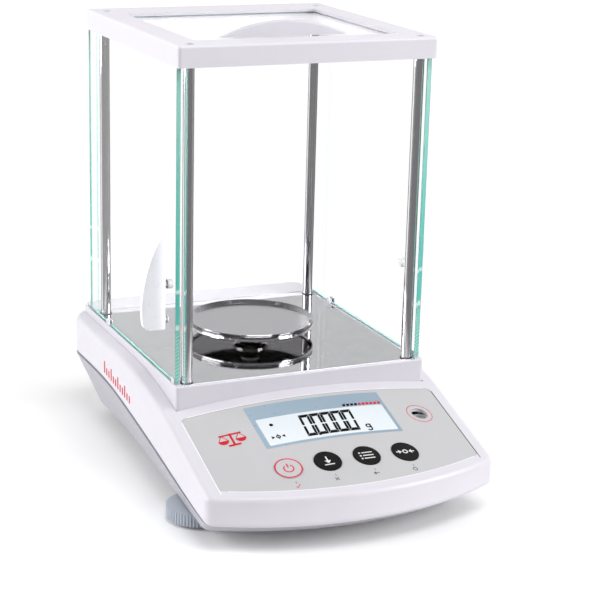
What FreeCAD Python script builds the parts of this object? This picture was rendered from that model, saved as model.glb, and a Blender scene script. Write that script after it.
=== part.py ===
"""Analytical balance with a glass draft shield, one STEP file per sub-part.

Millimetres. +X is to the right of the person using it, +Y is to the rear, +Z is up. The
origin is on the table, under the middle of the balance.
"""
import FreeCAD, Part
import math
import os

V = FreeCAD.Vector
UP = V(0, 0, 1)
FAR = 400.0                     # longer than the balance, for cutting tools

# ---- driving dimensions: body ------------------------------------------------------------
HALF_WIDTH = 100.5              # side wall of the body
REAR_Y = 158.5                  # rear wall
FRONT_Y = -158.5                # most forward point of the bowed front
BOW_RADIUS = 225.0              # the front's bow, seen from above
SHELL = 2.5                     # wall of the two body mouldings
SLIP = 0.1                      # play round a fitted part
REAR_CORNER = 26.0
FRONT_CORNER = 7.0
CREST_FILLET = 4.0              # rounding where the walls meet the top surface

# ---- the body's top surface: a sloping panel, crowned across, that runs into a level deck --
CROWN = 6.5                     # how much the surface has dropped CROWN_AT from the middle
CROWN_AT = 92.0
PANEL_SLOPE = 0.314
PANEL_END_Y = -52.5             # where the panel meets the draft shield's base
PANEL_END_Z = 72.3
DECK_SLOPE = 0.25               # slope just behind that, easing to level
DECK_RISE = 11.2

# ---- parting line between the white top moulding and the grey base, (y, z) ----------------
PARTING = [(-190.0, 21.6), (-113.0, 21.8), (-88.0, 26.0), (-37.0, 35.0), (20.0, 43.8),
           (55.0, 48.0), (100.0, 49.4), (190.0, 49.5)]
BASE_Z = 11.5                   # underside of the base
BASE_FLOOR = 3.0
SEAT_PLAY = 0.2                 # round the draft shield in its seat
SEAM_STEP = 0.3                 # the base is set in this far from the moulding above it
SIDE_DRAFT = 0.42               # how far the base's walls lean in for each mm below the parting
FRONT_DRAFT = 1.35
REAR_DRAFT = 0.25
BODY_SCREW_PLACES = [(x, y) for x in (-62.0, 62.0) for y in (-108.0, 96.0)]
BODY_SCREW = (2.9, 1.3, 14.0, 30.0)         # head and shank radius, seat height, tip height
SCREW_BOSS = (5.0, 19.0)        # radius, and the height where base and top bosses meet
BAY = (-16.0, 76.0, 141.0, 17.0, 45.0)      # connector recess: x from, x to, y from, z from, z to
CONNECTOR_Z = 31.0              # middle of both connectors
PORT_X = 30.0
JACK_X = 62.0

# ---- draft shield --------------------------------------------------------------------------
SHIELD_HALF = 90.2
SHIELD_FRONT = -52.5
SHIELD_REAR = 157.3
SHIELD_TOP = 82.0
SHIELD_SEAT = 64.0              # the level floor that it stands on
SHIELD_WELL = (79.0, -43.5, 116.0)          # hollow under the plate: half width, y from, y to
SHIELD_REAR_WELL = (83.0, 119.5, 152.0)     # hollow behind it
FRAME_HALF = 90.2
FRAME_FRONT = -52.5
FRAME_REAR = 137.5
FRAME_BOTTOM = 289.0
FRAME_TOP = 303.0
OPENING_HALF = 72.0
OPENING_FRONT = -31.0
OPENING_REAR = 104.5
POST_RADIUS = 3.9
POST_X = 80.3
POST_BOTTOM = 70.0
POST_TOP = 296.5
COLLAR_RADIUS = 4.25
FRAME_SCREW = (2.9, 1.5, 298.6, 287.0)      # head and shank radius, seat height, tip height
POST_YS = {"front": -44.6, "rear": 122.3}
PANE = 2.3                      # fixed panes
DOOR_PANE = 2.9
FRONT_PANE_Y = -51.3            # front face of the front pane
REAR_PANE_Y = 128.0
PANE_HALF = 84.0
PANE_BOTTOM = 80.0
PANE_TOP = 294.0
PLATE_HALF = 84.3
PLATE_FRONT = -47.6
PLATE_REAR = 119.5
PLATE_THICK = 1.0

# ---- sliding doors -------------------------------------------------------------------------
DOOR_OUTER_X = 89.0
DOOR_FRONT = -46.5
DOOR_REAR = 136.5
DOOR_BOTTOM = 83.2
DOOR_TOP = 296.2
DOOR_PLAY = 0.3                 # between a door and the groove it slides in
HANDLE_Y = -25.5
HANDLE_THICK = 4.0
HANDLE_TOP = 179.5
HANDLE_FOOT = 114.3
HANDLE_OUT_X = 105.0            # how far out the fin reaches
KNOB = (144.5, 3.1, 3.7)        # height, radius and length of the knob inside each door
CAP = (120.5, 2.6, 0.9)         # the same for the small cap below it
FIXING_RADIUS, FIXING_DEPTH = 1.5, 2.0      # the fixings' shanks, and how far they enter a handle
TOP_DOOR_Z = 297.7
TOP_DOOR_HALF = 75.4
TOP_DOOR_FRONT = -33.4
TOP_DOOR_REAR = 109.0
TOP_HANDLE_Y = -8.5
TOP_HANDLE_HALF = 46.0
TOP_HANDLE_RISE = 10.2
TOP_HANDLE_THICK = 3.0

# ---- pan -----------------------------------------------------------------------------------
PAN_Y = 41.5
PAN_RADIUS = 44.8
PAN_TOP = 94.4
PAN_DEPTH = 2.4
PAN_FLOOR_RADIUS = 41.3
PAN_SHEET = 1.0
SHAFT_RADIUS = 4.0
SHAFT_FIT = 0.06                # play of the socket on the shaft
CELL = (16.0, 52.0, 24.5, 46.5) # load cell: half width, half length, z from, z to
CELL_HOLE = (8.6, 26.0)         # radius of its two cross holes, and their y
CARRIER_FOOT = 49.0             # where the carrier's flange rests on the load cell's plate

# ---- control panel --------------------------------------------------------------------------
OVERLAY_HALF = 90.3
OVERLAY_TOP_Y = -61.5
OVERLAY_INSET = 7.2             # from the bowed front edge
OVERLAY_THICK = 0.6
OVERLAY_SUNK = 0.15
BEZEL = (-48.5, 48.5, -106.0, -64.2)        # x from, x to, y from, y to
LCD = (-45.0, 46.0, -103.6, -77.5)
KEY_XS = {"power": -42.4, "print": -15.4, "function": 11.9, "tare": 39.4}
KEY_Y = -126.7
KEY_RADIUS = 9.0
KEY_PROUD = 0.25
KEY_THICK = 0.45
KEY_STEM_RADIUS = 4.2
KEY_HOLE_RADIUS = 6.4
BOARD_Y = -98.5                 # the board behind the panel, parallel to it
BOARD_DROP = 11.5
DOME_HEIGHT = 2.4
DOME_GAP = 0.5                  # between a dome and the key's stem
LEVEL_X = 69.2
LEVEL_Y = -88.5
LEVEL_RADIUS = 5.6
LEVEL_DEPTH = 11.5              # from the panel down to the cup's fixing ears
EAR_THICK = 1.5

# ---- feet -----------------------------------------------------------------------------------
FOOT_X = 83.0
FOOT_Y = -76.5
FOOT_RADIUS = 21.4
FOOT_RIBS = 60
FOOT_RIM = (2.2, 10.4)          # bottom and top of the thumbwheel
STUD_RADIUS = 3.0
STUD_SEAT = 2.0                 # depth of the wheel below its stud
PIN_RADIUS = 2.5                # the pad's pin, which the wheel turns on
NUT_RADIUS = 4.0
NUT_TOP = 26.0
REAR_FOOT = (66.0, 128.0)       # x and y
REAR_FOOT_TOP = 13.5
REAR_FOOT_SOCKET = 9.0          # radius
BOARD_Z = (24.0, 25.6)          # underside and top of the main board

PANEL_NORMAL = V(0, -PANEL_SLOPE, 1).normalize()


# ---- helpers --------------------------------------------------------------------------------
def box(x0, x1, y0, y1, z0, z1):
    """A box from its limits along each axis."""
    return Part.makeBox(x1 - x0, y1 - y0, z1 - z0, V(x0, y0, z0))


def rod(radius, z0, z1, x=0.0, y=0.0):
    """An upright cylinder."""
    return Part.makeCylinder(radius, z1 - z0, V(x, y, z0))


def tube(outer, inner, z0, z1, x=0.0, y=0.0):
    """An upright tube."""
    return rod(outer, z0, z1, x, y).cut(rod(inner, z0 - 1, z1 + 1, x, y))


def upright_edges(shape, test):
    """The straight, near-vertical edges whose lower end passes the test (x, y)."""
    found = []
    for edge in shape.Edges:
        start, end = edge.Vertexes[0].Point, edge.Vertexes[-1].Point
        if abs(start.z - end.z) > 0.5 * edge.Length > 0 and test(start.x, start.y):
            found.append(edge)
    return found


def level_edges(shape, z, tolerance=0.01):
    """The edges that lie at one height."""
    bound = [edge for edge in shape.Edges if abs(edge.BoundBox.ZMin - z) < tolerance]
    return [edge for edge in bound if abs(edge.BoundBox.ZMax - z) < tolerance]


def block(x0, x1, y0, y1, z0, z1, corner):
    """A box with rounded upright corners."""
    solid = box(x0, x1, y0, y1, z0, z1)
    return solid.makeFillet(corner, upright_edges(solid, lambda x, y: True))


def revolve(points, x=0.0, y=0.0):
    """A solid of revolution about an upright axis from (radius, z) points."""
    outline = [V(r, 0, z) for r, z in points]
    face = Part.Face(Part.makePolygon(outline + outline[:1]))
    solid = face.revolve(V(0, 0, 0), UP, 360)
    solid.translate(V(x, y, 0))
    return solid


def both_sides(solid):
    """The solid and its mirror image across the middle of the balance."""
    return [solid, solid.mirror(V(0, 0, 0), V(1, 0, 0))]


def export(name, solids):
    """Write one sub-part, which may be a group of separate solids."""
    solids = solids if isinstance(solids, list) else [solids]
    shape = solids[0] if len(solids) == 1 else Part.makeCompound(solids)
    shape.exportStep("parts/%s.step" % name)
    print("%-26s solids %d  volume %8.0f  valid %s"
          % (name, len(shape.Solids), shape.Volume, shape.isValid()))


# ---- surfaces that shape the body --------------------------------------------------------
def bow_y(x, inset=0.0):
    """The front's y at x, or of a line parallel to it."""
    radius = BOW_RADIUS - inset
    return FRONT_Y + BOW_RADIUS - math.sqrt(radius * radius - x * x)


def middle_z(y):
    """Height of the top surface on the centre line."""
    behind = y - PANEL_END_Y
    if behind <= 0:
        return PANEL_END_Z + PANEL_SLOPE * behind
    ease = 2 * DECK_RISE / DECK_SLOPE
    reach = min(behind, ease)
    return PANEL_END_Z + DECK_SLOPE * (reach - reach * reach / (2 * ease))


def top_z(x, y):
    """Height of the body's top surface."""
    return middle_z(y) - CROWN * (x / CROWN_AT) ** 2


def under_top(drop=0.0):
    """Everything below the top surface, lowered by drop."""
    columns = [-112 + 28 * i for i in range(9)]
    rows = [-176 + 16 * j for j in range(23)]
    grid = [[V(x, y, top_z(x, y) - drop) for y in rows] for x in columns]
    surface = Part.BSplineSurface()
    surface.interpolate(grid)
    return surface.toShape().extrude(V(0, 0, -160))


def plan(inset, z0, z1):
    """The body's outline seen from above, extruded."""
    half = HALF_WIDTH - inset
    corner_y = bow_y(half, inset)
    left, right = V(-half, corner_y, z0), V(half, corner_y, z0)
    back_right, back_left = V(half, REAR_Y - inset, z0), V(-half, REAR_Y - inset, z0)
    front = Part.Arc(left, V(0, FRONT_Y + inset, z0), right).toShape()
    sides = Part.makePolygon([right, back_right, back_left, left])
    solid = Part.Face(Part.Wire([front] + sides.Edges)).extrude(V(0, 0, z1 - z0))
    solid = solid.makeFillet(REAR_CORNER - inset, upright_edges(solid, lambda x, y: y > 0))
    return solid.makeFillet(FRONT_CORNER - inset, upright_edges(solid, lambda x, y: y < 0
                                                                and abs(x) > half - 1))


def below_parting(lift=0.0):
    """Everything below the parting line."""
    curve = Part.BSplineCurve()
    curve.interpolate([V(-150, y, z + lift) for y, z in PARTING])
    (y0, z0), (y1, z1) = PARTING[0], PARTING[-1]
    edges = Part.makePolygon([V(-150, y1, z1 + lift), V(-150, y1, -20), V(-150, y0, -20),
                              V(-150, y0, z0 + lift)])
    return Part.Face(Part.Wire([curve.toShape()] + edges.Edges)).extrude(V(300, 0, 0))


def base_wire(z, inset):
    """The leaning walls of the base, cut at one height."""
    def side(y, parting):
        return V(HALF_WIDTH - inset - SIDE_DRAFT * (parting - z), y, z)

    front = bow_y(HALF_WIDTH) + inset + FRONT_DRAFT * (PARTING[0][1] - z)
    rear = REAR_Y - inset - REAR_DRAFT * (PARTING[-1][1] - z)
    points = [side(front, PARTING[0][1])]
    points += [side(y, parting) for y, parting in PARTING[2:-1]]
    points += [side(rear, PARTING[-1][1])]
    right = Part.BSplineCurve()
    right.interpolate(points)
    left = Part.BSplineCurve()
    left.interpolate([V(-p.x, p.y, p.z) for p in reversed(points)])
    nose = V(0, FRONT_Y + inset + FRONT_DRAFT * (PARTING[0][1] - z), z)
    first, last = points[0], points[-1]
    bow = Part.Arc(V(-first.x, first.y, z), nose, first).toShape()
    back = Part.makeLine(last, V(-last.x, last.y, z))
    return Part.Wire([bow, right.toShape(), back, left.toShape()])


def base_block(inset, floor):
    """The base as a solid block, down to floor, up past the parting line."""
    inset += SEAM_STEP
    loft = Part.makeLoft([base_wire(floor, inset), base_wire(62.0, inset)], True, True)
    loft = loft.makeFillet(REAR_CORNER - inset, upright_edges(loft, lambda x, y: y > 100))
    return loft.makeFillet(FRONT_CORNER - inset, upright_edges(loft, lambda x, y: y < -100))


def panel_slab(outline, drop, thick):
    """A sheet that follows the top surface, cut to an upright outline."""
    return outline.common(under_top(drop).cut(under_top(drop + thick)))


# ---- body -----------------------------------------------------------------------------------
def base_tray():
    """The grey lower moulding, with bosses for the feet and the body's screws."""
    tray = base_block(0.0, BASE_Z).common(below_parting())
    hollow = base_block(SHELL, BASE_Z + BASE_FLOOR)
    tray = tray.cut(hollow)
    boss_radius, boss_top = SCREW_BOSS
    head, _, seat, _ = BODY_SCREW
    for x in (-FOOT_X, FOOT_X):
        tray = tray.fuse(rod(2 * NUT_RADIUS, BASE_Z, NUT_TOP, x, FOOT_Y))
        tray = tray.cut(rod(NUT_RADIUS, 0, FAR, x, FOOT_Y))
    for x, y in BODY_SCREW_PLACES:
        tray = tray.fuse(rod(boss_radius, BASE_Z, boss_top, x, y))
        tray = tray.cut(rod(1.7, 0, FAR, x, y)).cut(rod(head + 0.5, 0, seat, x, y))
    for x in (-REAR_FOOT[0], REAR_FOOT[0]):
        tray = tray.fuse(rod(REAR_FOOT_SOCKET + 2.0, BASE_Z, REAR_FOOT_TOP + 3.5, x, REAR_FOOT[1]))
        tray = tray.cut(rod(REAR_FOOT_SOCKET, 0, REAR_FOOT_TOP, x, REAR_FOOT[1]))
    return tray.cut(connector_bay(SLIP))


def connector_bay(gap):
    """The recess in the rear wall for the connectors, larger all round by a gap."""
    x0, x1, y0, z0, z1 = BAY
    return box(x0 - gap, x1 + gap, y0 - gap, FAR, z0 - gap, z1 + gap)


def top_housing():
    """The white upper moulding: panel, rounded deck and the seat of the draft shield."""
    outer = plan(0.0, 0.0, 100.0).common(under_top())
    outer = outer.cut(below_parting())
    crest = [edge for edge in outer.Edges if edge.BoundBox.ZMin > 33.0
             and edge.BoundBox.DiagonalLength > 2.0]
    outer = outer.makeFillet(CREST_FILLET, crest)
    hollow = plan(SHELL, -1.0, 100.0).common(under_top(SHELL))
    wall = SHELL + SEAT_PLAY
    hollow = hollow.cut(box(-SHIELD_HALF - wall, SHIELD_HALF + wall, SHIELD_FRONT - wall, FAR,
                            SHIELD_SEAT - SHELL, FAR))
    shell = outer.cut(hollow)
    shell = shell.cut(box(-SHIELD_HALF - SEAT_PLAY, SHIELD_HALF + SEAT_PLAY,
                          SHIELD_FRONT - SEAT_PLAY, FAR, SHIELD_SEAT, FAR))
    shell = shell.cut(panel_slab(overlay_outline(0.25, 0, 120), -5.0,
                                 5.0 + OVERLAY_SUNK + OVERLAY_THICK))
    x0, x1, y0, y1 = LCD
    shell = shell.cut(box(x0 - 1, x1 + 1, y0 - 1, y1 + 1, 30, 90))
    for x in KEY_XS.values():
        shell = shell.cut(rod(KEY_HOLE_RADIUS, 20, 90, x, KEY_Y))
    shell = shell.cut(rod(LEVEL_RADIUS + 0.25, 30, 90, LEVEL_X, LEVEL_Y))
    shell = shell.cut(rod(3 * SHAFT_RADIUS, 50, 90, 0, PAN_Y))
    inside = under_top(1.2).common(plan(1.0, 0, SHIELD_SEAT - 1.0))
    for pillar in inner_pillars():
        shell = shell.fuse(pillar.common(inside))
    return shell


def inner_pillars():
    """The top moulding's screw posts: for the base, the level and the display board."""
    _, shank, _, _ = BODY_SCREW
    pillars = [tube(4.5, shank, SCREW_BOSS[1], 80, x, y) for x, y in BODY_SCREW_PLACES]
    pillars += [tube(2.6, 1.0, ear_z(), 80, LEVEL_X + dx, LEVEL_Y) for dx in (-10.5, 10.5)]
    pillars += [on_board(tube(2.8, 1.0, 0, 9), x, y) for x in (-52, 52) for y in (-27, 24)]
    return pillars


def overlay_outline(grow, z0, z1):
    """The control panel's outline seen from above, extruded."""
    half = OVERLAY_HALF + grow
    top = OVERLAY_TOP_Y + grow
    inset = OVERLAY_INSET - grow
    corner_y = bow_y(half, inset)
    left, right = V(-half, corner_y, z0), V(half, corner_y, z0)
    front = Part.Arc(left, V(0, FRONT_Y + inset, z0), right).toShape()
    rest = Part.makePolygon([right, V(half, top, z0), V(-half, top, z0), left])
    solid = Part.Face(Part.Wire([front] + rest.Edges)).extrude(V(0, 0, z1 - z0))
    return solid.makeFillet(3.0 + grow, upright_edges(solid, lambda x, y: True))


def shield_base():
    """The white base of the draft shield: a ring with a ledge for the steel plate."""
    solid = box(-SHIELD_HALF, SHIELD_HALF, SHIELD_FRONT, SHIELD_REAR, SHIELD_SEAT, SHIELD_TOP)
    solid = solid.makeFillet(12.0, upright_edges(solid, lambda x, y: y > 0))
    solid = solid.makeFillet(2.5, upright_edges(solid, lambda x, y: y < 0))
    solid = solid.makeFillet(0.8, level_edges(solid, SHIELD_TOP))
    half, front, rear = SHIELD_WELL
    solid = solid.cut(box(-half, half, front, rear, 0, FAR))
    half, front, rear = SHIELD_REAR_WELL
    solid = solid.cut(box(-half, half, front, rear, 0, SHIELD_TOP - 3))
    plate_top = SHIELD_TOP - PLATE_THICK
    solid = solid.cut(box(-PLATE_HALF - 0.3, PLATE_HALF + 0.3, PLATE_FRONT - 0.3,
                          PLATE_REAR + 0.5, plate_top, 100))
    for x, y in post_places():
        solid = solid.fuse(rod(7.0, SHIELD_SEAT, plate_top, x, y))
        solid = solid.cut(rod(POST_RADIUS, POST_BOTTOM, 100, x, y))
        solid = solid.cut(rod(COLLAR_RADIUS, plate_top, 100, x, y))
    door_middle = DOOR_OUTER_X - DOOR_PANE / 2
    for groove in both_sides(box(door_middle - 1.0, door_middle + 1.0, DOOR_FRONT + 0.6, FAR,
                                 80, 100)):
        solid = solid.cut(groove)
    for y in (FRONT_PANE_Y, REAR_PANE_Y):
        solid = solid.cut(pane_slot(y, PANE_BOTTOM, 100))
    return solid


def pane_slot(y, z0, z1):
    """The slot that takes one end of a fixed pane."""
    return box(-PANE_HALF - 2 * SLIP, PANE_HALF + 2 * SLIP, y - SLIP, y + PANE + SLIP, z0, z1)


def post_places():
    return [(x, y) for x in (-POST_X, POST_X) for y in POST_YS.values()]


def floor_plate():
    """The steel plate, cut away round the posts; the front corners are notched off."""
    plate = box(-PLATE_HALF, PLATE_HALF, PLATE_FRONT, PLATE_REAR,
                SHIELD_TOP - PLATE_THICK, SHIELD_TOP)
    corner = box(POST_X - 0.5, 95, PLATE_FRONT - 5, POST_YS["front"] + 0.5, 70, 100)
    for notch in both_sides(corner):
        plate = plate.cut(notch)
    for x, y in post_places():
        plate = plate.cut(rod(POST_RADIUS + 0.5, 70, 100, x, y))
    return plate.cut(rod(7.0, 70, 100, 0, PAN_Y))


def top_frame():
    """The white frame that ties the posts together and holds the panes and the top door."""
    frame = box(-FRAME_HALF, FRAME_HALF, FRAME_FRONT, FRAME_REAR, FRAME_BOTTOM, FRAME_TOP)
    frame = frame.makeFillet(2.5, upright_edges(frame, lambda x, y: True))
    frame = frame.makeFillet(1.8, level_edges(frame, FRAME_TOP))
    window = block(-OPENING_HALF, OPENING_HALF, OPENING_FRONT, OPENING_REAR, 280, 310, 2.0)
    frame = frame.cut(window)
    inner_x = DOOR_OUTER_X - DOOR_PANE - DOOR_PLAY
    for groove in both_sides(box(inner_x, DOOR_OUTER_X + DOOR_PLAY, DOOR_FRONT - 2, FAR,
                                 280, DOOR_TOP + 0.6)):
        frame = frame.cut(groove)
    for y in (FRONT_PANE_Y, REAR_PANE_Y):
        frame = frame.cut(pane_slot(y, 280, PANE_TOP + 2 * SLIP))
    frame = frame.cut(box(-TOP_DOOR_HALF - 0.5, TOP_DOOR_HALF + 0.5, TOP_DOOR_FRONT - 0.5, FAR,
                          TOP_DOOR_Z - DOOR_PLAY, TOP_DOOR_Z + DOOR_PANE + DOOR_PLAY))
    head, shank, seat, _ = FRAME_SCREW
    for x, y in post_places():
        frame = frame.cut(rod(POST_RADIUS, 280, POST_TOP, x, y))
        frame = frame.cut(rod(shank + SLIP, 280, FAR, x, y)).cut(rod(head + 0.3, seat, FAR, x, y))
    return frame


def posts():
    """The four upright rods, each tapped at its top end for the frame's screw."""
    _, shank, _, tip = FRAME_SCREW
    made = {}
    for side, x in (("left", -POST_X), ("right", POST_X)):
        for place, y in POST_YS.items():
            post = rod(POST_RADIUS, POST_BOTTOM, POST_TOP, x, y)
            made["post_%s_%s" % (place, side)] = post.cut(rod(shank, tip, 300, x, y))
    return made


def frame_screw(x, y):
    """A pan-head screw down into the post, with a cross recess."""
    radius, shank, seat, tip = FRAME_SCREW
    top = seat + 2.0
    head = rod(radius, seat, top, x, y)
    head = head.makeFillet(0.6, level_edges(head, top))
    cross = box(x - 1.6, x + 1.6, y - 0.35, y + 0.35, seat + 1.0, FAR)
    cross = cross.fuse(box(x - 0.35, x + 0.35, y - 1.6, y + 1.6, seat + 1.0, FAR))
    return head.cut(cross).fuse(rod(shank, tip, seat, x, y))


def post_collar(x, y):
    """The black sealing ring round a post's foot, on the plate."""
    return tube(COLLAR_RADIUS, POST_RADIUS, SHIELD_TOP - PLATE_THICK, SHIELD_TOP + 0.7, x, y)


def fixed_pane(y):
    """The front or rear sheet of glass, held in the base and the frame."""
    return block_xz(-PANE_HALF, PANE_HALF, y, y + PANE, PANE_BOTTOM, PANE_TOP, 0.6)


def block_xz(x0, x1, y0, y1, z0, z1, corner):
    """A sheet across X and Z whose four corners are rounded."""
    solid = box(x0, x1, y0, y1, z0, z1)
    along = [edge for edge in solid.Edges if abs(edge.BoundBox.YLength - (y1 - y0)) < 1e-6]
    return solid.makeFillet(corner, along)


# ---- doors ----------------------------------------------------------------------------------
def side_door_glass(sign):
    """A side door's pane, drilled for its handle's two fixings."""
    outer, inner = sign * DOOR_OUTER_X, sign * (DOOR_OUTER_X - DOOR_PANE)
    pane = box(min(outer, inner), max(outer, inner), DOOR_FRONT, DOOR_REAR, DOOR_BOTTOM, DOOR_TOP)
    across = [edge for edge in pane.Edges if abs(edge.BoundBox.XLength - DOOR_PANE) < 1e-6]
    pane = pane.makeFillet(1.2, across)
    for z, _, _ in (KNOB, CAP):
        pane = pane.cut(Part.makeCylinder(2.0, 20, V(sign * 80, HANDLE_Y, z), V(sign, 0, 0)))
    return pane


def side_handle(sign):
    """A fin that stands out from the glass, narrow at the top and broad at the bottom."""
    face, top, foot, out = DOOR_OUTER_X, HANDLE_TOP, HANDLE_FOOT, HANDLE_OUT_X
    shoulder = foot + 4.7
    curve = Part.BSplineCurve()
    curve.interpolate([V(face + 0.9, 0, top), V(face + 6.6, 0, 169.3), V(face + 13.0, 0, 151.0),
                       V(out, 0, 126.5), V(out - 0.6, 0, shoulder)])
    turn = Part.Arc(V(out - 0.6, 0, shoulder), V(out - 2.6, 0, foot + 1.1), V(out - 6.6, 0, foot))
    rest = Part.makePolygon([V(out - 6.6, 0, foot), V(face, 0, foot), V(face, 0, top),
                             V(face + 0.9, 0, top)])
    outline = Part.Wire([curve.toShape(), turn.toShape()] + rest.Edges)
    fin = Part.Face(outline).extrude(V(0, HANDLE_THICK, 0))
    fin.translate(V(0, HANDLE_Y - HANDLE_THICK / 2, 0))
    for z, _, _ in (KNOB, CAP):
        fin = fin.cut(Part.makeCylinder(FIXING_RADIUS, 5 + FIXING_DEPTH, V(face - 5, HANDLE_Y, z),
                                        V(1, 0, 0)))
    return fin if sign > 0 else fin.mirror(V(0, 0, 0), V(1, 0, 0))


def handle_fixing(sign, size):
    """A screw through the glass into the handle, with a round head inside."""
    z, radius, length = size
    inner = DOOR_OUTER_X - DOOR_PANE
    head = Part.makeCylinder(radius, length, V(inner - length, HANDLE_Y, z), V(1, 0, 0))
    rim = [edge for edge in head.Edges if abs(edge.BoundBox.XMax - inner + length) < 1e-6]
    head = head.makeFillet(0.4, rim)
    shank = Part.makeCylinder(FIXING_RADIUS, DOOR_PANE + FIXING_DEPTH + 0.1,
                              V(inner - 0.1, HANDLE_Y, z), V(1, 0, 0))
    screw = head.fuse(shank)
    return screw if sign > 0 else screw.mirror(V(0, 0, 0), V(1, 0, 0))


def door_glides(sign):
    """Shoes clipped on the glass's lower edge, each with a tongue in the base's groove."""
    inner = DOOR_OUTER_X - DOOR_PANE
    middle = DOOR_OUTER_X - DOOR_PANE / 2
    made = []
    for y, length in ((DOOR_FRONT + 0.6, 5.0), (90.0, 7.0)):
        shoe = box(inner - 0.6, DOOR_OUTER_X + 0.7, y, y + length, SHIELD_TOP + 0.35,
                   DOOR_BOTTOM + 2.8)
        shoe = shoe.cut(box(inner, DOOR_OUTER_X, y - 1, y + 10, DOOR_BOTTOM, 200))
        shoe = shoe.fuse(box(middle - 0.6, middle + 0.6, y + 0.6, y + length - 0.6, 80.4,
                             SHIELD_TOP + 0.6))
        made.append(shoe if sign > 0 else shoe.mirror(V(0, 0, 0), V(1, 0, 0)))
    return made


def top_door_glass():
    """The pane that slides to the rear in the frame."""
    return block(-TOP_DOOR_HALF, TOP_DOOR_HALF, TOP_DOOR_FRONT, TOP_DOOR_REAR,
                 TOP_DOOR_Z, TOP_DOOR_Z + DOOR_PANE, 1.2)


def top_door_handle():
    """An upright arched plate with a flat flange that is bonded to the glass."""
    foot = TOP_DOOR_Z + DOOR_PANE
    left, right = V(-TOP_HANDLE_HALF, 0, foot), V(TOP_HANDLE_HALF, 0, foot)
    arch = Part.Arc(left, V(0, 0, foot + TOP_HANDLE_RISE), right).toShape()
    plate = Part.Face(Part.Wire([arch, Part.makeLine(right, left)]))
    plate = plate.extrude(V(0, TOP_HANDLE_THICK, 0))
    plate.translate(V(0, TOP_HANDLE_Y, 0))
    crest = [edge for edge in plate.Edges if edge.BoundBox.ZLength > 5]
    plate = plate.makeFillet(1.2, crest)
    flange = block(-34, 34, TOP_HANDLE_Y + 1, TOP_HANDLE_Y + 9, foot, foot + 1.4, 3.0)
    return plate.fuse(flange)


# ---- weighing parts -------------------------------------------------------------------------
def weighing_pan():
    """A shallow dish with a rolled rim and a bead round its lower edge."""
    top, out = PAN_TOP, PAN_RADIUS
    floor = top - PAN_DEPTH
    under = floor - PAN_SHEET
    points = [(0, under), (PAN_FLOOR_RADIUS + 0.2, under), (out - 1.7, top - 1.7),
              (out - 1.4, top - 3.0), (out - 1.2, top - 4.1), (out - 0.9, top - 4.9),
              (out - 0.3, top - 4.9), (out, top - 4.4), (out - 0.1, top - 3.8),
              (out - 0.6, top - 2.9), (out - 0.5, top - 1.8), (out - 0.1, top - 0.9),
              (out - 0.1, top - 0.4), (out - 0.4, top), (out - 0.9, top), (out - 1.3, top - 0.3),
              (PAN_FLOOR_RADIUS, floor), (0, floor)]
    return revolve(points, 0, PAN_Y)


def pan_socket():
    """The flared collar under the dish that drops over the carrier's spigot."""
    top = PAN_TOP - PAN_DEPTH - PAN_SHEET
    bore = SHAFT_RADIUS + SHAFT_FIT
    points = [(bore, 83.6), (7.4, 83.6), (7.7, 84.1), (7.9, 86.6), (9.2, 88.6),
              (12.4, top - 1.0), (12.4, top), (bore, top)]
    return revolve(points, 0, PAN_Y)


def pan_carrier():
    """The shaft that carries the pan's load down to the load cell."""
    flange_top = CARRIER_FOOT + 3.0
    shaft = rod(SHAFT_RADIUS, flange_top, PAN_TOP - PAN_DEPTH - PAN_SHEET - 0.4, 0, PAN_Y)
    flange = rod(11.0, CARRIER_FOOT, flange_top, 0, PAN_Y)
    shoulder = rod(6.2, 79.5, 83.3, 0, PAN_Y)
    return shaft.fuse([flange, shoulder]).removeSplitter()


def load_cell():
    """A parallel-guide block, hollowed to leave its two thin beams."""
    half, length, z0, z1 = CELL
    radius, hole_y = CELL_HOLE
    middle = (z0 + z1) / 2
    cell = block(-half, half, -length, length, z0, z1, 2.0)
    for y in (-hole_y, hole_y):
        cell = cell.cut(Part.makeCylinder(radius, 60, V(-30, y, middle), V(1, 0, 0)))
    return cell.cut(box(-30, 30, -hole_y, hole_y, middle - 2, middle + 2))


def cell_bracket():
    """The pedestal that holds the fixed end of the load cell on the base."""
    half, length, cell_bottom, _ = CELL
    step = 18.5
    foot = block(-24, 24, -length - 2, -20, BASE_Z + BASE_FLOOR, step, 3.0)
    return foot.fuse(box(-half, half, -length, -36, step, cell_bottom))


def cell_top_plate():
    """The bridge from the load cell's free end to the carrier."""
    return block(-13, 13, 29.0, 53.0, CELL[3], CARRIER_FOOT, 2.0)


def main_board():
    """The circuit board beside the load cell, with a hole that clears a screw post."""
    under, top = BOARD_Z
    board = block(26.0, 82.0, -20, 126, under, top, 1.0)
    x, y = BODY_SCREW_PLACES[-1]
    return board.cut(rod(SCREW_BOSS[0] + 0.5, 20, 30, x, y))


def board_pillar(x, y):
    return tube(3.0, 1.2, BASE_Z + BASE_FLOOR, BOARD_Z[0], x, y)


def board_parts():
    """Tall components on the main board: transformer, relay, two capacitors, a processor."""
    top = BOARD_Z[1]
    made = [box(32, 52, 60, 84, top, top + 7.4), box(58, 76, 64, 76, top, top + 3.9)]
    made += [rod(5, top, top + 13.4, x, 100) for x in (38, 52)]
    made.append(box(34, 62, 0, 28, top, top + 2.6))
    return made


def tilt(solid, x, y, z):
    """Lay a flat-built solid parallel to the sloping panel, its origin at a place."""
    placed = solid.copy()
    placed.rotate(V(0, 0, 0), V(1, 0, 0), math.degrees(math.atan(PANEL_SLOPE)))
    placed.translate(V(x, y, z))
    return placed


def on_board(solid, x, y):
    """Stand a flat-built solid on the display board, (x, y) from the board's own origin."""
    placed = solid.copy()
    placed.translate(V(x, y, 0))
    return tilt(placed, 0, BOARD_Y, top_z(0, BOARD_Y) - BOARD_DROP)


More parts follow.
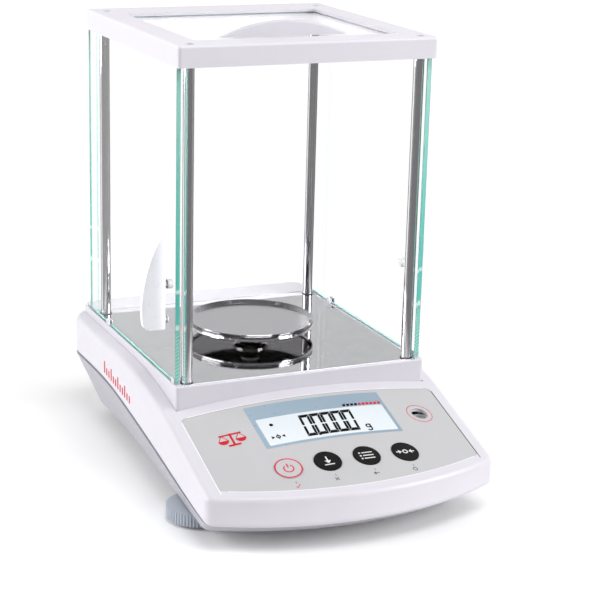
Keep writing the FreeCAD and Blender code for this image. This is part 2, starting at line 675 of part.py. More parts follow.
def board_place(y):
    """How far along the tilted board the point is that lies squarely behind the panel at y."""
    return (y - BOARD_Y) * math.sqrt(1 + PANEL_SLOPE ** 2) - BOARD_DROP * PANEL_NORMAL.y


def display_board():
    """The board behind the panel, which carries the display and the key contacts."""
    return on_board(block(-56, 56, -40, 30, -1.6, 0, 2.0), 0, 0)


def display_module():
    """The liquid-crystal cell with its backlight, on the board."""
    module = block(-47.5, 48.5, -14.5, 14.5, 0, 6.4, 1.0)
    return on_board(module, 0, board_place((LCD[2] + LCD[3]) / 2))


# ---- control panel --------------------------------------------------------------------------
def key_well(x, radius):
    return rod(radius, 0, 120, x, KEY_Y)


def control_overlay():
    """The printed sheet, open at the display, the keys and the level."""
    sheet = panel_slab(overlay_outline(0, 0, 120), OVERLAY_SUNK, OVERLAY_THICK)
    x0, x1, y0, y1 = BEZEL
    sheet = sheet.cut(block(x0, x1, y0, y1, 0, 120, 1.0))
    for x in KEY_XS.values():
        sheet = sheet.cut(key_well(x, KEY_RADIUS + 0.25))
    return sheet.cut(rod(LEVEL_RADIUS, 0, 120, LEVEL_X, LEVEL_Y))


def display_bezel():
    """The tinted border round the display."""
    x0, x1, y0, y1 = BEZEL
    border = block(x0, x1, y0, y1, 0, 120, 1.0)
    x0, x1, y0, y1 = LCD
    border = border.cut(block(x0, x1, y0, y1, -1, 121, 0.6))
    return panel_slab(border, OVERLAY_SUNK, OVERLAY_THICK)


def display_window():
    """The clear sheet over the display."""
    x0, x1, y0, y1 = LCD
    return panel_slab(block(x0, x1, y0, y1, 0, 120, 0.6), OVERLAY_SUNK, OVERLAY_THICK)


def key_cap(x):
    """A round cap that follows the panel, on a stem that stops just above its dome."""
    cap = panel_slab(key_well(x, KEY_RADIUS), -KEY_PROUD, KEY_THICK)
    stem = on_board(Part.makeCylinder(KEY_STEM_RADIUS, BOARD_DROP), x, board_place(KEY_Y))
    stem.translate(PANEL_NORMAL * (DOME_HEIGHT + DOME_GAP))
    return cap.fuse(stem.common(under_top(0.1)))


def key_dome(x):
    """The rubber dome under a key, on the board."""
    return on_board(Part.makeCone(6.0, 4.0, DOME_HEIGHT), x, board_place(KEY_Y))


def ear_z():
    """Top of the level cup's fixing ears."""
    return top_z(LEVEL_X, LEVEL_Y) - LEVEL_DEPTH


def level_cup():
    """The cup that holds the bubble level below the panel."""
    foot = ear_z()
    bottom = foot - EAR_THICK
    cup = rod(LEVEL_RADIUS - SLIP, bottom, foot + 8.9, LEVEL_X, LEVEL_Y)
    cup = cup.cut(rod(LEVEL_RADIUS - 0.9, foot, foot + 20, LEVEL_X, LEVEL_Y))
    ear = block(LEVEL_X - 14, LEVEL_X + 14, LEVEL_Y - 4, LEVEL_Y + 4, bottom, foot, 2.0)
    return cup.fuse(ear)


def level_liquid():
    """The liquid in the level, with its air bubble."""
    foot = ear_z()
    liquid = rod(LEVEL_RADIUS - 1.8, foot + 0.9, foot + 6.1, LEVEL_X, LEVEL_Y)
    return liquid.cut(Part.makeSphere(1.6, V(LEVEL_X, LEVEL_Y, foot + 4.5)))


def level_vial():
    """The clear capsule that holds the liquid."""
    vial = rod(LEVEL_RADIUS - 1.0, ear_z(), ear_z() + 7.1, LEVEL_X, LEVEL_Y)
    return vial.cut(rod(LEVEL_RADIUS - 1.8, ear_z() + 0.9, ear_z() + 6.1, LEVEL_X, LEVEL_Y))


# ---- rear connectors ------------------------------------------------------------------------
def along_y(radius, length, x, y, z=CONNECTOR_Z):
    """A cylinder that points to the rear."""
    return Part.makeCylinder(radius, length, V(x, y, z), V(0, 1, 0))


def rear_panel():
    """The recessed tray that carries the connectors."""
    x0, x1, y0, _, _ = BAY
    wall = 1.6
    bay = connector_bay(0.0).common(base_block(0.6, BASE_Z))
    plate = bay.cut(connector_bay(-wall).cut(box(x0, x1, y0 - 1, y0 + 2, 10, 50)))
    plate = plate.cut(box(PORT_X - 15.5, PORT_X + 15.5, 130, 150, CONNECTOR_Z - 6.5,
                          CONNECTOR_Z + 6.5))
    return plate.cut(along_y(4.6, 20, JACK_X, 130))


def slanted(half_low, half_high, rise, y):
    """The D outline of the serial port, from its half widths and half height."""
    low, high = CONNECTOR_Z - rise, CONNECTOR_Z + rise
    corners = [(-half_low, low), (half_low, low), (half_high, high), (-half_high, high)]
    points = [V(PORT_X + x, y, z) for x, z in corners]
    return Part.Face(Part.makePolygon(points + points[:1]))


def serial_port():
    """A nine-way D-shaped plug with its flange and jack screws."""
    z, face = CONNECTOR_Z, BAY[2] + 2.9
    shell = box(PORT_X - 13.5, PORT_X + 13.5, 134, face - 0.9, z - 6, z + 6)
    shell = shell.fuse(box(PORT_X - 15.5, PORT_X + 15.5, face - 0.9, face, z - 6.8, z + 6.8))
    port = shell.fuse(slanted(8.2, 9.4, 4.0, face).extrude(V(0, 5.4, 0)))
    port = port.cut(slanted(7.6, 8.7, 3.4, face + 0.7).extrude(V(0, 8, 0)))
    for dx in (-12.4, 12.4):
        port = port.fuse(along_y(1.9, 3.6, PORT_X + dx, face))
    pitch, row_pitch = 2.77, 2.8
    for i in range(9):
        row, place = (0, i) if i < 5 else (1, i - 5)
        x = PORT_X + pitch * (place - (2.0 if row == 0 else 1.5))
        port = port.fuse(along_y(0.5, 4.0, x, face - 0.1, z + row_pitch * (0.5 - row)))
    return port


def power_jack():
    """A barrel jack with its centre pin."""
    barrel, bore, back, face = 4.5, 2.9, 133.0, BAY[2] + 2.0
    shell = along_y(barrel, 12.4, JACK_X, back)
    shell = shell.cut(along_y(bore, 9.4, JACK_X, back + 3.4))
    flange = along_y(6.2, 1.2, JACK_X, face).cut(along_y(barrel, 3, JACK_X, face - 1))
    pin = along_y(1.0, 8.4, JACK_X, back + 2.6)
    return shell.fuse([flange, pin])


# ---- feet and fasteners ---------------------------------------------------------------------
def foot_wheel(x):
    """The ribbed thumbwheel."""
    bottom, top = FOOT_RIM
    outline = []
    for i in range(4 * FOOT_RIBS):
        radius = FOOT_RADIUS if i % 4 in (0, 1) else FOOT_RADIUS - 0.8
        angle = 2 * math.pi * (i + 0.25 * (i % 2)) / (4 * FOOT_RIBS)
        outline.append(V(radius * math.cos(angle), radius * math.sin(angle), bottom))
    wheel = Part.Face(Part.makePolygon(outline + outline[:1])).extrude(V(0, 0, top - bottom))
    wheel = wheel.cut(tube(17.5, 9.0, bottom - 1, bottom + 3.5))
    wheel = wheel.cut(rod(STUD_RADIUS, bottom + STUD_SEAT, top + 1))
    wheel = wheel.cut(rod(PIN_RADIUS + SLIP, 0, bottom + 2.5))
    wheel.translate(V(x, FOOT_Y, 0))
    return wheel


def foot_stud(x):
    """The threaded stud, fixed in the wheel."""
    return rod(STUD_RADIUS, FOOT_RIM[0] + STUD_SEAT, NUT_TOP + 2.0, x, FOOT_Y)


def foot_pad(x):
    """The glide that stays still on the table while the wheel turns on its pin."""
    top = FOOT_RIM[0] - 0.3
    pad = rod(8.6, 0, top)
    pad = pad.makeFillet(0.8, level_edges(pad, 0.0))
    return pad.fuse(rod(PIN_RADIUS, top, FOOT_RIM[0] + 1.7)).translated(V(x, FOOT_Y, 0))


def foot_nut(x):
    """The brass insert in the base that the stud turns in."""
    return tube(NUT_RADIUS, STUD_RADIUS + 0.06, BASE_Z, NUT_TOP, x, FOOT_Y)


def rear_foot(x):
    """A fixed rubber foot, pressed into its socket."""
    top, radius = REAR_FOOT_TOP, REAR_FOOT_SOCKET - 0.2
    return revolve([(0, 0), (7.2, 0), (8.0, 0.8), (radius, top), (0, top)], x, REAR_FOOT[1])


def housing_screw(x, y):
    """A screw up through the base into the top moulding's post."""
    head, shank, seat, tip = BODY_SCREW
    return rod(head, seat - 2.1, seat, x, y).fuse(rod(shank, seat, tip, x, y))


def main():
    os.makedirs("parts", exist_ok=True)
    export("base_tray", base_tray())
    export("top_housing", top_housing())
    export("shield_base", shield_base())
    export("floor_plate", floor_plate())
    export("top_frame", top_frame())
    for name, post in posts().items():
        export(name, post)
    export("post_collars", [post_collar(x, y) for x, y in post_places()])
    export("frame_screws", [frame_screw(x, y) for x, y in post_places()])
    export("front_pane", fixed_pane(FRONT_PANE_Y))
    export("rear_pane", fixed_pane(REAR_PANE_Y))
    for side, sign in (("left", -1), ("right", 1)):
        export("%s_door_glass" % side, side_door_glass(sign))
        export("%s_door_handle" % side, side_handle(sign))
        export("%s_door_knob" % side, handle_fixing(sign, KNOB))
        export("%s_door_cap" % side, handle_fixing(sign, CAP))
        export("%s_door_glides" % side, door_glides(sign))
        export("%s_foot_wheel" % side, foot_wheel(sign * FOOT_X))
        export("%s_foot_stud" % side, foot_stud(sign * FOOT_X))
        export("%s_foot_pad" % side, foot_pad(sign * FOOT_X))
    export("top_door_glass", top_door_glass())
    export("top_door_handle", top_door_handle())
    export("weighing_pan", weighing_pan())
    export("pan_socket", pan_socket())
    export("pan_carrier", pan_carrier())
    export("load_cell", load_cell())
    export("cell_bracket", cell_bracket())
    export("cell_top_plate", cell_top_plate())
    export("main_board", main_board())
    export("board_pillars", [board_pillar(x, y) for x in (31.0, 77.0) for y in (-14.0, 118.0)])
    export("board_parts", board_parts())
    export("display_board", display_board())
    export("display_module", display_module())
    export("control_overlay", control_overlay())
    export("display_bezel", display_bezel())
    export("display_window", display_window())
    for name, x in KEY_XS.items():
        export("key_%s" % name, key_cap(x))
    export("key_domes", [key_dome(x) for x in KEY_XS.values()])
    export("level_cup", level_cup())
    export("level_vial", level_vial())
    export("level_liquid", level_liquid())
    export("rear_panel", rear_panel())
    export("serial_port", serial_port())
    export("power_jack", power_jack())
    export("foot_nuts", [foot_nut(-FOOT_X), foot_nut(FOOT_X)])
    export("rear_feet", [rear_foot(-REAR_FOOT[0]), rear_foot(REAR_FOOT[0])])
    export("housing_screws", [housing_screw(x, y) for x, y in BODY_SCREW_PLACES])


main()
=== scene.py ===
"""Analytical balance in a plain light studio: materials and printed detail on the CAD frame."""
import math

import bmesh
import bpy
from mathutils import Matrix, Vector


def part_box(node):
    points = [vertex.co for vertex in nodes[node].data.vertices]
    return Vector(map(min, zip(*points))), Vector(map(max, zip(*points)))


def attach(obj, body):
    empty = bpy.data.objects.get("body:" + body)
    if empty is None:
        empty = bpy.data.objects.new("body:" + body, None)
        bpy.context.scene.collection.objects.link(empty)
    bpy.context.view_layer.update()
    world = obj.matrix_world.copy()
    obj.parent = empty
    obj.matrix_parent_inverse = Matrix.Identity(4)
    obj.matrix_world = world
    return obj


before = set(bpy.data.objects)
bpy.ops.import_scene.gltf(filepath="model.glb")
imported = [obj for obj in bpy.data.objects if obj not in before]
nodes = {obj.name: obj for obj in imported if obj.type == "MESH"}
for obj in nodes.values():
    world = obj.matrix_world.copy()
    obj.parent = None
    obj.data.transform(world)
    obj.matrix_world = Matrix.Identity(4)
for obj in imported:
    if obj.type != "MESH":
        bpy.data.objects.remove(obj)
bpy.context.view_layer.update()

MM = 0.001
AXIS_X, AXIS_Y, AXIS_Z = 0, 1, 2

# ---- sizes shared with the CAD model, in millimetres ----------------------------------------
CROWN, CROWN_AT, PANEL_SLOPE = 6.5, 92.0, 0.314
PANEL_END_Y, PANEL_END_Z = -52.5, 72.3
OVERLAY_SUNK = 0.15
KEY_PROUD = 0.25
KEY_XS = {"power": -42.4, "print": -15.4, "function": 11.9, "tare": 39.4}
KEY_Y = -126.7
LEVEL_X, LEVEL_Y = 69.2, -88.5
HALF_WIDTH = 100.5
KNOB_Z, CAP_Z = 144.5, 120.5    # the two fixings of each door's handle
PAN_FACE_Z = 92.0
PANE_Z = (83.0, 296.0)          # foot and top of the glass


def panel_z(x, y):
    """Height of the body's top surface on the sloping panel."""
    return PANEL_END_Z + PANEL_SLOPE * (y - PANEL_END_Y) - CROWN * (x / CROWN_AT) ** 2


# ---- node helpers ---------------------------------------------------------------------------
def two_way(tree, operation, first, second):
    """The result of one operation on two values, each a number or a socket."""
    node = tree.nodes.new("ShaderNodeMath")
    node.operation = operation
    for into, value in zip(node.inputs, (first, second)):
        if isinstance(value, float):
            into.default_value = value
        else:
            tree.links.new(value, into)
    return node.outputs[0]


def blend_colours(tree, factor, low, high):
    """Mixes two colours, each a value or a socket."""
    mix = tree.nodes.new("ShaderNodeMix")
    mix.data_type = "RGBA"
    tree.links.new(factor, mix.inputs["Factor"])
    for into, value in zip([i for i in mix.inputs if i.type == "RGBA"], (low, high)):
        if isinstance(value, tuple):
            into.default_value = value
        else:
            tree.links.new(value, into)
    return [o for o in mix.outputs if o.type == "RGBA"][0]


def smooth_step(tree, value, start, end):
    """Rises from 0 to 1 as a value goes from start to end."""
    step = tree.nodes.new("ShaderNodeMapRange")
    step.interpolation_type = "SMOOTHSTEP"
    step.inputs["From Min"].default_value = start
    step.inputs["From Max"].default_value = end
    tree.links.new(value, step.inputs["Value"])
    return step.outputs[0]


# ---- materials ------------------------------------------------------------------------------
class Shade:
    """A procedural material under construction, in object coordinates."""

    def __init__(self, name, colour, roughness, metallic=0.0, **sockets):
        self.material = bpy.data.materials.new(name)
        self.material.use_nodes = True
        self.tree = self.material.node_tree
        self.shader = self.tree.nodes["Principled BSDF"]
        self.shader.inputs["Base Color"].default_value = (*colour, 1)
        self.shader.inputs["Roughness"].default_value = roughness
        self.shader.inputs["Metallic"].default_value = metallic
        for socket, value in sockets.items():
            self.shader.inputs[socket.replace("_", " ")].default_value = value
        self.place = self.tree.nodes.new("ShaderNodeTexCoord").outputs["Object"]
        self.colour = colour
        self.height = None

    def link(self, out, into):
        """Joins an output to an input."""
        self.tree.links.new(out, into)

    def noise(self, scale, detail=3.0, stretch=(1, 1, 1)):
        """Noise from 0 to 1 over the piece."""
        mapping = self.tree.nodes.new("ShaderNodeMapping")
        mapping.inputs["Scale"].default_value = stretch
        self.link(self.place, mapping.inputs["Vector"])
        texture = self.tree.nodes.new("ShaderNodeTexNoise")
        texture.inputs["Scale"].default_value = scale
        texture.inputs["Detail"].default_value = detail
        self.link(mapping.outputs[0], texture.inputs["Vector"])
        return texture.outputs["Fac"]

    def remap(self, value, low, high, start=0.3, end=0.7):
        """Maps start..end of a value to low..high, and holds it there beyond them."""
        node = self.tree.nodes.new("ShaderNodeMapRange")
        node.inputs["From Min"].default_value = start
        node.inputs["From Max"].default_value = end
        node.inputs["To Min"].default_value = low
        node.inputs["To Max"].default_value = high
        self.link(value, node.inputs["Value"])
        return node.outputs[0]

    def ramp(self, value, stops):
        """A colour that runs through (place, colour) stops."""
        node = self.tree.nodes.new("ShaderNodeValToRGB")
        ramp = node.color_ramp
        while len(ramp.elements) < len(stops):
            ramp.elements.new(0.5)
        for element, (place, colour) in zip(ramp.elements, stops):
            element.position = place
            element.color = (*colour, 1)
        self.link(value, node.inputs["Fac"])
        return node.outputs["Color"]

    def mottle(self, amount, scale=60.0, stretch=(1, 1, 1)):
        """Slow colour variation of a small amount."""
        dark = tuple(c * (1 - amount) for c in self.colour)
        light = tuple(min(1.0, c * (1 + amount)) for c in self.colour)
        colour = self.ramp(self.noise(scale, 4.0, stretch), [(0.3, dark), (0.7, light)])
        return self.colour_from(colour)

    def rough(self, low, high, scale=200.0, stretch=(1, 1, 1)):
        """Roughness that wanders between two values."""
        return self.roughness_from(self.remap(self.noise(scale, 4.0, stretch), low, high))

    def grain(self, scale, strength, distance, stretch=(1, 1, 1), detail=2.0):
        """A fine relief."""
        bump = self.tree.nodes.new("ShaderNodeBump")
        bump.inputs["Strength"].default_value = strength
        bump.inputs["Distance"].default_value = distance
        self.link(self.noise(scale, detail, stretch), bump.inputs["Height"])
        if self.height:
            self.link(self.height, bump.inputs["Normal"])
        self.height = bump.outputs[0]
        self.link(self.height, self.shader.inputs["Normal"])
        return self

    def axis(self, index):
        """Place along x, y or z, in metres."""
        node = self.tree.nodes.new("ShaderNodeSeparateXYZ")
        self.link(self.place, node.inputs[0])
        return node.outputs[index]

    def colour_from(self, value):
        """Takes the base colour from a socket."""
        self.link(value, self.shader.inputs["Base Color"])
        return self

    def roughness_from(self, value):
        """Takes the roughness from a socket."""
        self.link(value, self.shader.inputs["Roughness"])
        return self


METAL = 1.0


def moulded(name, colour, roughness, texture=2200.0, depth=0.00004, shine=0.5):
    """A moulded plastic with a fine spark-eroded texture, its depth in metres."""
    shade = Shade(name, colour, roughness, Specular_IOR_Level=shine)
    shade.mottle(amount=0.012, scale=40.0)
    shade.rough(roughness - 0.05, roughness + 0.06, scale=350.0)
    return shade.grain(texture, strength=0.35, distance=depth)


def plated(name, colour, roughness):
    """A plated or polished metal."""
    shade = Shade(name, colour, roughness, METAL)
    shade.mottle(amount=0.03, scale=90.0)
    return shade.rough(max(0.02, roughness - 0.03), roughness + 0.04, scale=160.0)


def tube_with_painted_reflections(name, middle, light, line, roughness):
    """Plated round tube with painted reflections: dim in its middle, then a light band, a dark
    line and a light edge, all painted into its colour by how squarely it faces the view.
    """
    shade = Shade(name, middle, roughness, METAL)
    shade.rough(max(0.02, roughness - 0.03), roughness + 0.04, scale=160.0)
    weight = shade.tree.nodes.new("ShaderNodeLayerWeight")
    weight.inputs["Blend"].default_value = 0.5
    bands = [(0.0, middle), (0.16, middle), (0.24, light), (0.36, light), (0.42, line),
             (0.50, line), (0.58, light)]
    return shade.colour_from(shade.ramp(weight.outputs["Facing"], bands))


def brushed(name, colour, roughness, stretch, depth=0.00001):
    """Steel with fine parallel brush lines."""
    shade = Shade(name, colour, roughness, METAL)
    shade.mottle(amount=0.035, scale=160.0, stretch=stretch)
    shade.rough(roughness * 0.75, roughness * 1.35, scale=260.0, stretch=stretch)
    return shade.grain(900.0, strength=0.25, distance=depth, stretch=stretch)


def glass(name, tint):
    """Clear sheet glass that lets the lamps' light through."""
    shade = Shade(name, tint, 0.0, Transmission_Weight=1.0, IOR=1.12)
    shade.rough(0.0, 0.012, scale=30.0)
    clear = shade.tree.nodes.new("ShaderNodeBsdfTransparent")
    path = shade.tree.nodes.new("ShaderNodeLightPath")
    mix = shade.tree.nodes.new("ShaderNodeMixShader")
    shade.link(path.outputs["Is Shadow Ray"], mix.inputs[0])
    shade.link(shade.shader.outputs[0], mix.inputs[1])
    shade.link(clear.outputs[0], mix.inputs[2])
    shade.link(mix.outputs[0], shade.tree.nodes["Material Output"].inputs["Surface"])
    return shade


def pan_steel_painted_underside(name, colour, under, satin, polish, satin_z):
    """Steel that is satin on the pan's level face, and polished on its rim and underside; below
    the face its colour is lighter and warmer, as painted reflected light.
    """
    shade = Shade(name, colour, polish, METAL)
    height = shade.axis(AXIS_Z)
    rise = shade.remap(height, 0.0, 1.0, satin_z - 0.003, satin_z + 0.001)
    # Below the level face the colour is painted reflected light, lighter and warmer than the steel.
    shade.colour_from(shade.ramp(rise, [(0.0, under), (0.4, under), (0.6, colour)]))
    above = shade.remap(height, satin, polish, satin_z + 0.0001, satin_z + 0.0004)
    below = shade.remap(height, 1.0, 0.0, satin_z - 0.0001, satin_z - 0.0004)
    return shade.roughness_from(two_way(shade.tree, "MULTIPLY", above, below))


white_abs = moulded("white_abs", (0.590, 0.572, 0.622), 0.36)
# Whiter than the housing's white; the extra brightness is painted light on the top frame.
frame_white_painted_light = moulded("frame_white_painted_light", (0.655, 0.635, 0.69), 0.36)
# Whiter than the housing's white; the extra brightness is painted light on the handles' fins.
fin_white_painted_light = moulded("fin_white_painted_light", (0.86, 0.845, 0.90), 0.30, 2600.0, 0.00002)
grey_paint = moulded("grey_paint", (0.375, 0.370, 0.410), 0.42, 1500.0, 0.00006)
overlay_grey = moulded("overlay_grey", (0.450, 0.450, 0.461), 0.45, 3200.0, 0.00002)
black_plastic = moulded("black_plastic", (0.009, 0.008, 0.008), 0.4, 2600.0, 0.00003, 0.08)
grey_plastic = moulded("grey_plastic", (0.46, 0.46, 0.47), 0.4)
foot_grey = moulded("foot_grey", (0.42, 0.46, 0.52), 0.38, 1800.0, 0.00003)
black_rubber = moulded("black_rubber", (0.018, 0.018, 0.02), 0.62, 1400.0, 0.00008)
clear_rubber = moulded("clear_rubber", (0.55, 0.56, 0.54), 0.5)
# The posts' reflections are painted into their colour as bands of light and dark.
chrome = tube_with_painted_reflections("chrome", (0.68, 0.66, 0.69), (0.95, 0.93, 0.94), (0.12, 0.12, 0.13),
                       0.05)
zinc = plated("zinc_steel", (0.60, 0.60, 0.62), 0.22)
brass = plated("brass", (0.62, 0.45, 0.20), 0.25)
aluminium = brushed("aluminium", (0.70, 0.71, 0.72), 0.34, (1, 0.04, 1))
plate_steel = plated("plate_steel", (0.40, 0.40, 0.415), 0.04)
pan_steel = pan_steel_painted_underside("pan_steel", (0.335, 0.33, 0.345), (0.66, 0.63, 0.61), 0.20, 0.06,
                         PAN_FACE_Z * MM)
clear_glass = glass("clear_glass", (0.992, 0.997, 0.995))
board_green = moulded("circuit_board", (0.02, 0.14, 0.06), 0.3)
lcd_grey = moulded("lcd_grey", (0.55, 0.58, 0.60), 0.3)
crimson = moulded("print_crimson", (0.50, 0.0125, 0.02), 0.5, shine=0.2)
rose = moulded("print_rose", (0.60, 0.015, 0.065), 0.5, shine=0.2)
print_white = moulded("print_white", (0.66, 0.66, 0.67), 0.4)
print_grey = moulded("print_grey", (0.07, 0.07, 0.075), 0.5, shine=0.2)
segment_ink = moulded("segment_ink", (0.004, 0.004, 0.005), 0.6, shine=0.1)
# Painted highlight and painted shadow for the control overlay's edges.
painted_edge_highlight = moulded("overlay_edge_pale", (0.80, 0.79, 0.79), 0.4)
painted_gap_shadow = moulded("overlay_edge_dark", (0.16, 0.15, 0.14), 0.5)
frosted_vial = Shade("frosted_vial", (0.72, 0.74, 0.73), 0.35, Transmission_Weight=0.5)
frosted_vial.mottle(amount=0.02, scale=300.0).rough(0.3, 0.4, scale=400.0)
level_green = moulded("level_green", (0.50, 0.56, 0.50), 0.12)


def film_with_painted_shade(name, axis, first, last, start, end, roughness):
    """A printed film with painted shade, its colour running evenly from start to end along one
    axis.
    """
    shade = Shade(name, first, roughness)
    along = shade.remap(shade.axis(axis), 0.0, 1.0, start, end)
    shade.colour_from(shade.ramp(along, [(0.0, first), (1.0, last)]))
    shade.rough(roughness - 0.03, roughness + 0.03, scale=300.0)
    return shade.grain(3200.0, strength=0.1, distance=0.00001)


# Painted shade: the bezel darkens to the right, the display window to the rear.
bezel_blue = film_with_painted_shade("bezel_blue", AXIS_X, (0.270, 0.355, 0.430), (0.235, 0.310, 0.385),
                    -0.0485, 0.0485, 0.30)
lcd_white = film_with_painted_shade("lcd_window", AXIS_Y, (0.66, 0.70, 0.73), (0.62, 0.665, 0.70),
                   -0.1036, -0.0775, 0.18)


def ground_edge(name, top, middle, deep):
    """Green glass seen end on, with painted light: paler to the top, lit at the two drilled holes,
    and crossed by slanting reflections below them, all painted into its colour."""
    painted_glow = tuple(0.5 + 0.45 * c for c in middle)
    foot_z, top_z = PANE_Z

    def at(z):
        return (z - foot_z) / (top_z - foot_z)

    shade = Shade(name, middle, 0.2)
    stops = [(0.0, deep), (at(CAP_Z - 2.2), deep), (at(CAP_Z - 1.2), painted_glow),
             (at(CAP_Z + 1.2), painted_glow), (at(CAP_Z + 2.2), middle), (at(KNOB_Z - 1.6), middle),
             (at(KNOB_Z - 0.8), painted_glow), (at(KNOB_Z + 0.8), painted_glow), (at(KNOB_Z + 1.6), middle),
             (1.0, top)]
    height = shade.axis(AXIS_Z)
    painted_glow_by_height = shade.ramp(shade.remap(height, 0.0, 1.0, foot_z * MM, top_z * MM), stops)
    turn = shade.tree.nodes.new("ShaderNodeMapping")
    turn.inputs["Rotation"].default_value = (0, math.radians(32), 0)
    shade.link(shade.place, turn.inputs["Vector"])
    bands = shade.tree.nodes.new("ShaderNodeTexWave")
    bands.bands_direction = "Z"
    bands.inputs["Scale"].default_value = 150.0
    bands.inputs["Distortion"].default_value = 0.6
    shade.link(turn.outputs[0], bands.inputs["Vector"])
    below = shade.remap(height, 0.55, 0.0, (CAP_Z - 5) * MM, (CAP_Z - 2) * MM)
    amount = two_way(shade.tree, "MULTIPLY", bands.outputs["Fac"], below)
    shade.colour_from(blend_colours(shade.tree, amount, painted_glow_by_height, (*painted_glow, 1)))
    return shade.rough(0.14, 0.28, scale=500.0)


# The ground edges' paler tops, bright bands at the holes and slanting streaks are painted light.
door_edge = ground_edge("door_glass_edge", (0.36, 0.68, 0.62), (0.10, 0.50, 0.42),
                        (0.09, 0.48, 0.39))
pane_edge = ground_edge("pane_glass_edge", (0.36, 0.58, 0.54), (0.12, 0.42, 0.37),
                        (0.12, 0.42, 0.37))

NODE_SHADES = {
    white_abs: ["top_housing", "shield_base", "top_door_handle", "left_door_glides",
                "right_door_glides", "left_door_cap", "right_door_cap"],
    frame_white_painted_light: ["top_frame"],
    fin_white_painted_light: ["left_door_handle", "right_door_handle"],
    grey_paint: ["base_tray", "rear_panel"],
    overlay_grey: ["control_overlay", "key_power", "level_cup"],
    black_plastic: ["key_print", "key_function", "key_tare", "board_parts", "power_jack",
                    "left_foot_pad", "right_foot_pad"],
    grey_plastic: ["left_door_knob", "right_door_knob"],
    foot_grey: ["left_foot_wheel", "right_foot_wheel"],
    black_rubber: ["post_collars", "rear_feet"],
    clear_rubber: ["key_domes"],
    chrome: ["post_front_left", "post_rear_left", "post_front_right", "post_rear_right"],
    zinc: ["frame_screws", "housing_screws", "left_foot_stud", "right_foot_stud",
           "serial_port", "board_pillars"],
    brass: ["foot_nuts"],
    aluminium: ["load_cell", "cell_bracket", "cell_top_plate", "pan_carrier"],
    plate_steel: ["floor_plate"],
    pan_steel: ["weighing_pan", "pan_socket"],
    clear_glass: ["front_pane", "rear_pane", "left_door_glass", "right_door_glass",
                  "top_door_glass"],
    frosted_vial: ["level_vial"],
    level_green: ["level_liquid"],
    board_green: ["main_board", "display_board"],
    lcd_grey: ["display_module"],
    lcd_white: ["display_window"],
    bezel_blue: ["display_bezel"],
}
for shade, names in NODE_SHADES.items():
    for name in names:
        mesh = nodes[name].data
        mesh.materials.clear()
        mesh.materials.append(shade.material)
unpainted = set(nodes) - {name for names in NODE_SHADES.values() for name in names}
assert not unpainted, unpainted


# ---- printed detail -------------------------------------------------------------------------
def on_panel(lift):
    """Maps a panel (x, y) to a point lift above the printed film."""
    return lambda x, y: Vector((x, y, panel_z(x, y) - OVERLAY_SUNK + lift)) * MM


def printed(name, polygons, place, shade, body="balance", thick=0.05):
    """A thin print made of flat polygons laid on a surface."""
    mesh = bpy.data.meshes.new(name)
    work = bmesh.new()
    for polygon in polygons:
        work.faces.new([work.verts.new(place(x, y)) for x, y in polygon])
    bmesh.ops.remove_doubles(work, verts=work.verts, dist=1e-6)
    bmesh.ops.recalc_face_normals(work, faces=work.faces)
    work.to_mesh(mesh)
    work.free()
    mesh.materials.append(shade.material)
    piece = bpy.data.objects.new(name, mesh)
    bpy.context.scene.collection.objects.link(piece)
    solid = piece.modifiers.new("thickness", "SOLIDIFY")
    solid.thickness = thick * MM
    solid.offset = 0
    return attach(piece, body)


def annulus(x, y, outer, inner, start=0.0, end=360.0, steps=48):
    """Quads of a ring, or of part of one."""
    quads = []
    for i in range(steps):
        a = math.radians(start + (end - start) * i / steps)
        b = math.radians(start + (end - start) * (i + 1) / steps)
        quads.append([(x + inner * math.cos(a), y + inner * math.sin(a)),
                      (x + outer * math.cos(a), y + outer * math.sin(a)),
                      (x + outer * math.cos(b), y + outer * math.sin(b)),
                      (x + inner * math.cos(b), y + inner * math.sin(b))])
    return quads


def disc(x, y, radius, steps=24):
    """A many-sided round patch."""
    return [[(x + radius * math.cos(2 * math.pi * i / steps),
              y + radius * math.sin(2 * math.pi * i / steps)) for i in range(steps)]]


def stroke(x0, y0, x1, y1, width):
    """A straight line with square ends."""
    along = Vector((x1 - x0, y1 - y0)).normalized()
    side = Vector((-along.y, along.x)) * width / 2
    return [[(x0 + side.x, y0 + side.y), (x0 - side.x, y0 - side.y),
             (x1 - side.x, y1 - side.y), (x1 + side.x, y1 + side.y)]]


DIGIT_WIDTH, DIGIT_HEIGHT, DIGIT_LEAN, DIGIT_GAP = 5.5, 18.4, 0.06, 0.35
DIGIT_BAR, DIGIT_STROKE = 2.7, 1.7          # across and up-and-down strokes
DIGIT_COUNT, DIGIT_PITCH = 5, 7.55
READING_X, READING_Y = -16.6, -99.8
POINT_LOW_Y, POINT_SIZE = -101.6, 1.7
UNIT_X, UNIT_Y = 26.6, -98.0
STEADY_MARK = (-36.8, -84.6)
ZERO_MARK_X, ZERO_MARK_Y = -36.6, -96.6


def bar_segment(y, out):
    """A level bar of a digit, wider on the side away from the digit's middle (out is +1 or -1)."""
    side, bar = DIGIT_STROKE / 2, DIGIT_BAR / 2
    return [(-side, y + out * bar), (DIGIT_WIDTH + side, y + out * bar),
            (DIGIT_WIDTH - side, y - out * bar), (side, y - out * bar)]


def side_segment(x, out, tip_y, middle_y):
    """A standing stroke of a digit, mitred to the bar at tip_y."""
    side = out * DIGIT_STROKE / 2
    reach = math.copysign(DIGIT_BAR / 2, tip_y - middle_y)
    gap = math.copysign(DIGIT_GAP, tip_y - middle_y)
    return [(x + side, tip_y + reach - gap), (x - side, tip_y - reach - gap),
            (x - side, middle_y + 2.6 * gap), (x, middle_y + 1.2 * gap),
            (x + side, middle_y + 2.6 * gap)]


